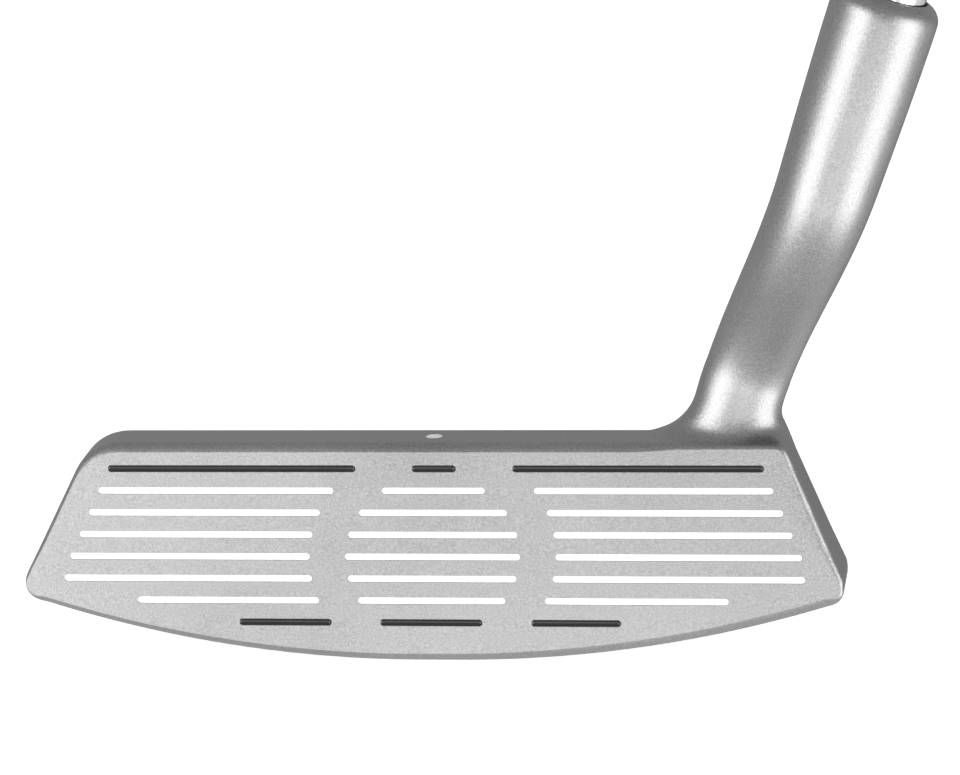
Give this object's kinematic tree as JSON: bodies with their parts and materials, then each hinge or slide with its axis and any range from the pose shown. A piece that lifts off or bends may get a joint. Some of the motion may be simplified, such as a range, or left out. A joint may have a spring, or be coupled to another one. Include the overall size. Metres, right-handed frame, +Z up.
{
  "type": "blade putter",
  "caption": "Right-handed blade putter: cast head with offset gooseneck hosel, enamel-filled face lines, stepped steel shaft and pistol grip.",
  "frame": {"origin": "middle of the flat on the sole, on the ground, with the club standing at address", "axes": "+Z up, -Y the way the face looks (the target), -X the toe and +X the heel; the shaft leans to +X"},
  "size_m": [0.3776, 0.0401, 0.8217],
  "materials": {
    "satin_steel": "bead-blasted satin, fine even grain",
    "white_enamel": "white enamel paint fill, semi-gloss",
    "black_enamel": "black enamel paint fill, semi-gloss",
    "chrome_shaft": "bright chrome plate on a stepped steel tube",
    "epoxy": "cured epoxy, dull",
    "tape": "double-sided grip tape",
    "grip_rubber": "matt moulded rubber with a fine pattern",
    "cap_plastic": "matt moulded cap"
  },
  "bodies": {
    "root": {"alignment_dot": "white_enamel", "black_line_heel_1": "black_enamel", "black_line_heel_8": "black_enamel", "black_line_middle_1": "black_enamel", "black_line_middle_8": "black_enamel", "black_line_toe_1": "black_enamel", "black_line_toe_8": "black_enamel", "epoxy_bond": "epoxy", "grip": "grip_rubber", "grip_cap": "cap_plastic", "grip_tape": "tape", "head_casting": "satin_steel", "shaft": "chrome_shaft", "white_line_heel_2": "white_enamel", "white_line_heel_3": "white_enamel", "white_line_heel_4": "white_enamel", "white_line_heel_5": "white_enamel", "white_line_heel_6": "white_enamel", "white_line_heel_7": "white_enamel", "white_line_middle_2": "white_enamel", "white_line_middle_3": "white_enamel", "white_line_middle_4": "white_enamel", "white_line_middle_5": "white_enamel", "white_line_middle_6": "white_enamel", "white_line_middle_7": "white_enamel", "white_line_toe_2": "white_enamel", "white_line_toe_3": "white_enamel", "white_line_toe_4": "white_enamel", "white_line_toe_5": "white_enamel", "white_line_toe_6": "white_enamel", "white_line_toe_7": "white_enamel"}
  },
  "joints": []
}
